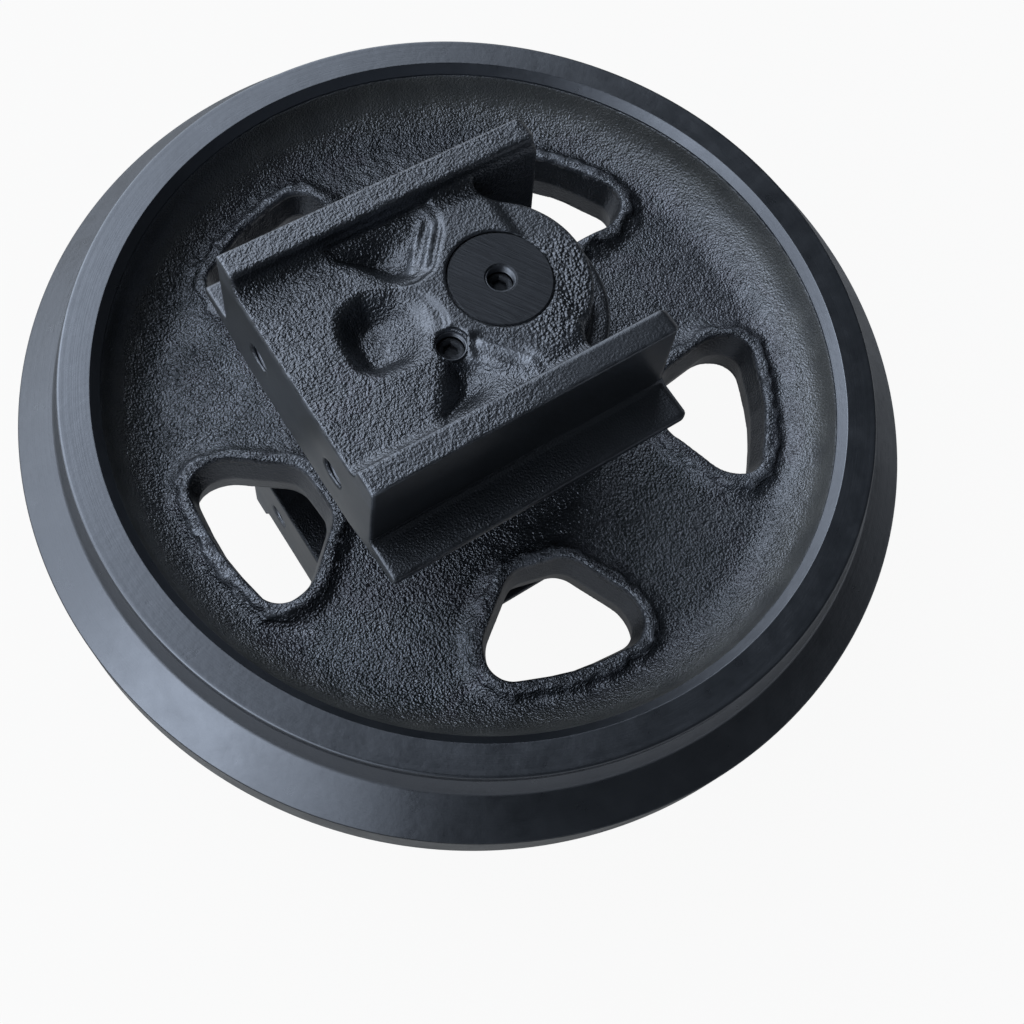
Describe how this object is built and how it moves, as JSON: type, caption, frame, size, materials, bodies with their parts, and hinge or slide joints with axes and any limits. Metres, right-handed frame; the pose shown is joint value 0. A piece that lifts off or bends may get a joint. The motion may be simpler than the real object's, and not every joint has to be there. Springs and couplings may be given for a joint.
{
  "type": "front idler",
  "caption": "Front idler of a crawler excavator: flanged cast wheel with lipped windows, turning on a fixed shaft held by guide brackets that slide in the track frame.",
  "frame": {"origin": "under the wheel's axis, on the plane of the lower bracket's rail tops, on which the part rests", "axes": "+Z along the wheel's axis, through the bracket seen from above; +X towards the brackets' machined end faces, where the track tensioner's yoke is bolted"},
  "size_m": [0.5, 0.5, 0.297],
  "materials": {
    "cast_paint": "semi-gloss black paint over rough casting",
    "shaft_paint": "semi-gloss black paint over a turned end",
    "bush_bronze": "machined bronze",
    "seal_iron": "lapped",
    "seal_rubber": "matte",
    "pin_steel": "plain"
  },
  "bodies": {
    "root": {"shaft": "shaft_paint", "guide_bracket_upper": "cast_paint", "bracket_seal_ring_upper": "seal_iron", "bracket_seal_toric_upper": "seal_rubber", "shaft_o_ring_upper": "seal_rubber", "lock_pin_upper": "pin_steel", "shaft_plug_upper": "pin_steel", "fill_plug_upper": "pin_steel", "guide_bracket_lower": "cast_paint", "bracket_seal_ring_lower": "seal_iron", "bracket_seal_toric_lower": "seal_rubber", "shaft_o_ring_lower": "seal_rubber", "lock_pin_lower": "pin_steel", "shaft_plug_lower": "pin_steel", "fill_plug_lower": "pin_steel"},
    "wheel": {"idler_wheel": "cast_paint", "bush_upper": "bush_bronze", "hub_seal_ring_upper": "seal_iron", "hub_seal_toric_upper": "seal_rubber", "bush_lower": "bush_bronze", "hub_seal_ring_lower": "seal_iron", "hub_seal_toric_lower": "seal_rubber"}
  },
  "joints": [
    {"name": "wheel_spin", "type": "hinge", "parent": "root", "child": "wheel", "pos_m": [0, 0, 0.1485], "axis": [0, 0, 1], "continuous": true}
  ]
}
